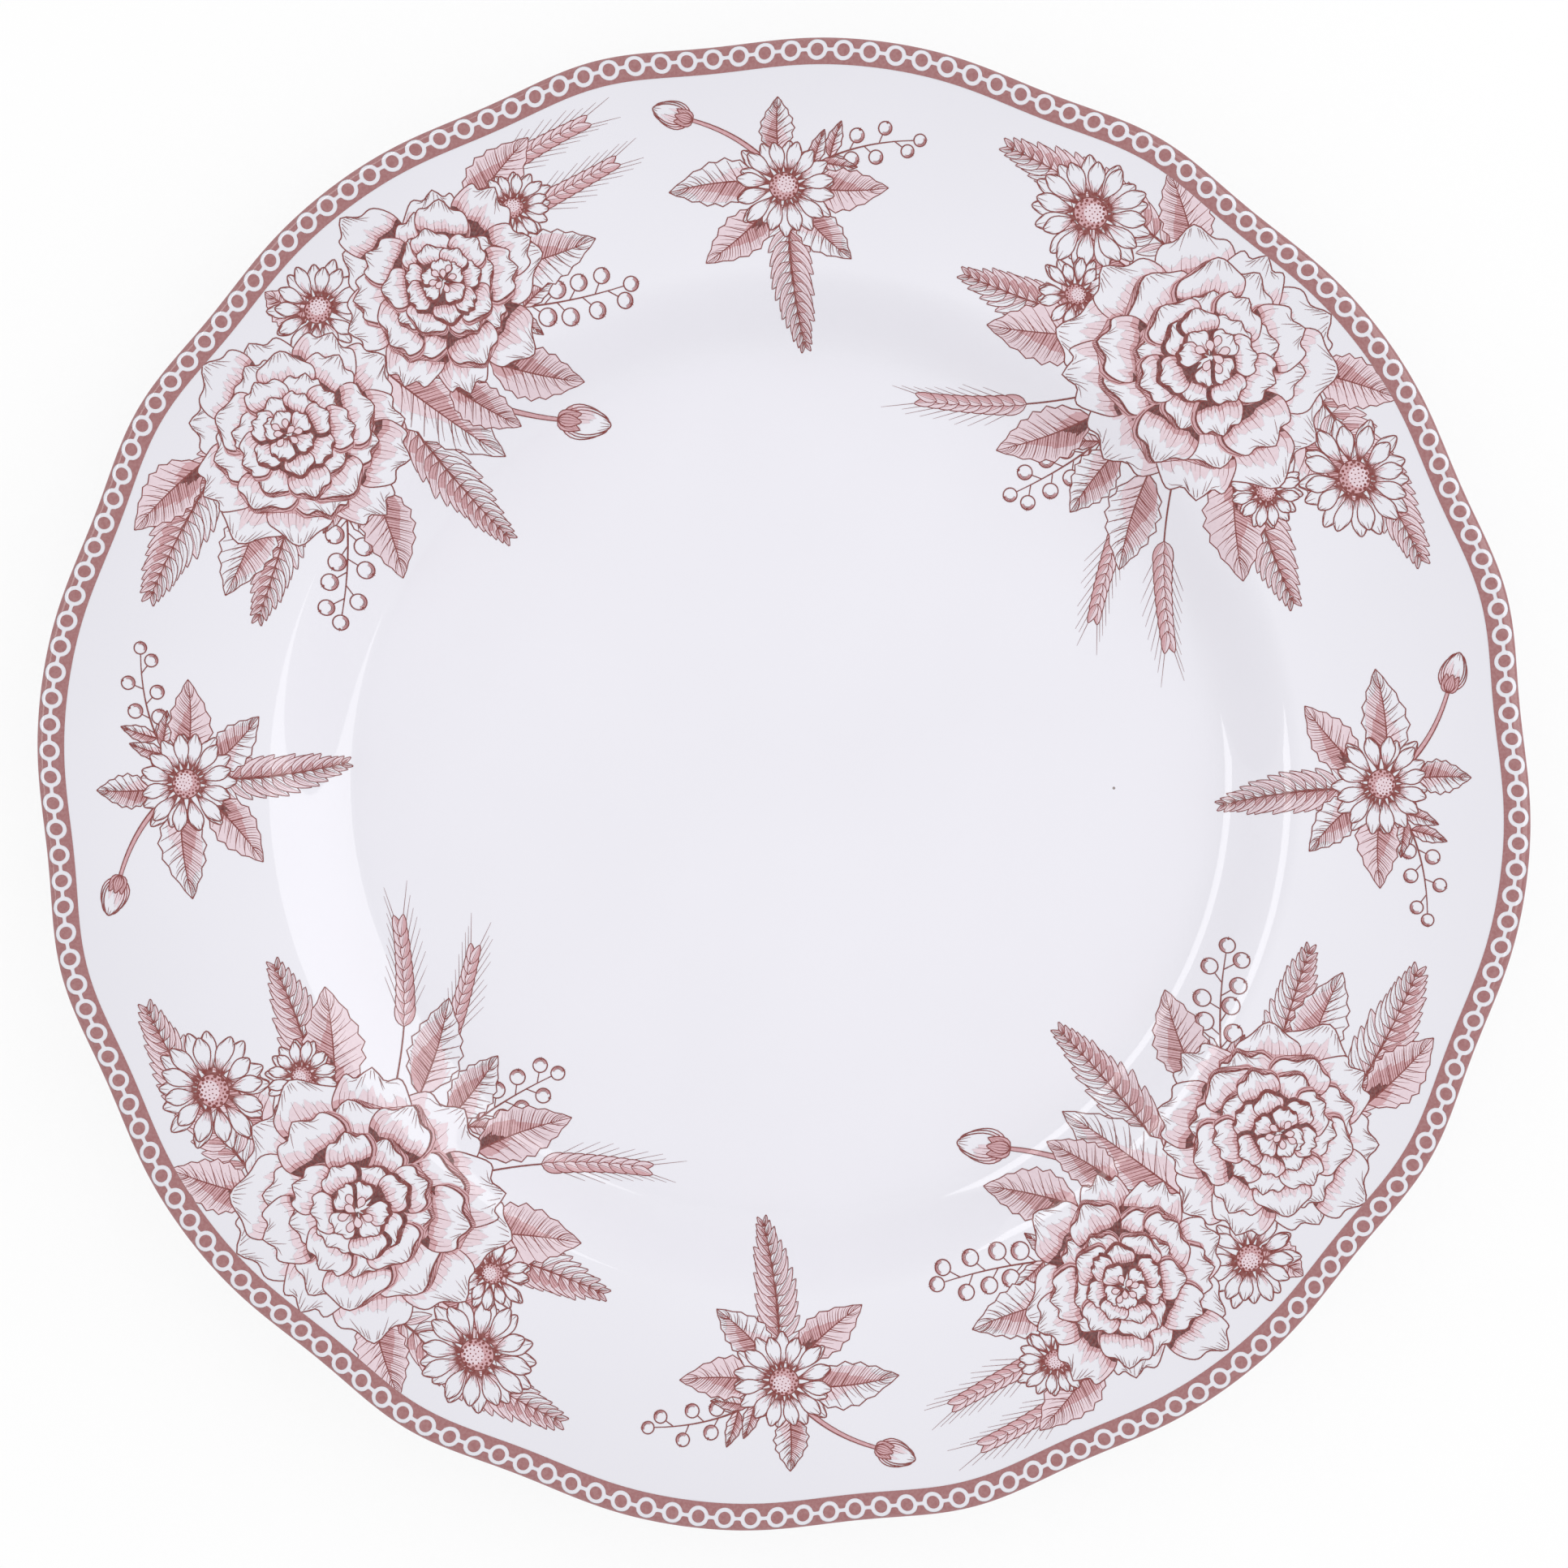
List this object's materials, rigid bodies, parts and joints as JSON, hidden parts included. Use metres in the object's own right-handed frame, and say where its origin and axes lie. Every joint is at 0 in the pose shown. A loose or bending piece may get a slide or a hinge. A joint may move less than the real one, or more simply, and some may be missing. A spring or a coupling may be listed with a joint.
{
  "type": "dinner plate",
  "caption": "Round dinner plate in glazed china with a scalloped rim, a flat well, a foot ring, a chain border and printed floral sprays.",
  "frame": {"origin": "middle of the foot ring on the surface the plate stands on", "axes": "+Z up out of the printed face; +X to the right and +Y up in the picture"},
  "size_m": [0.272, 0.272, 0.0235],
  "materials": {
    "porcelain_body": "bare fired china",
    "outer_glaze": "clear gloss",
    "base_glaze": "clear gloss",
    "border_print": "printed under gloss",
    "spray_print": "printed under gloss",
    "sprig_print": "printed under gloss"
  },
  "bodies": {
    "root": {"porcelain_body": "porcelain_body", "outer_glaze": "outer_glaze", "base_glaze": "base_glaze", "border_print": "border_print", "spray_print_1": "spray_print", "spray_print_2": "spray_print", "spray_print_3": "spray_print", "spray_print_4": "spray_print", "sprig_print_1": "sprig_print", "sprig_print_2": "sprig_print", "sprig_print_3": "sprig_print", "sprig_print_4": "sprig_print"}
  },
  "joints": []
}
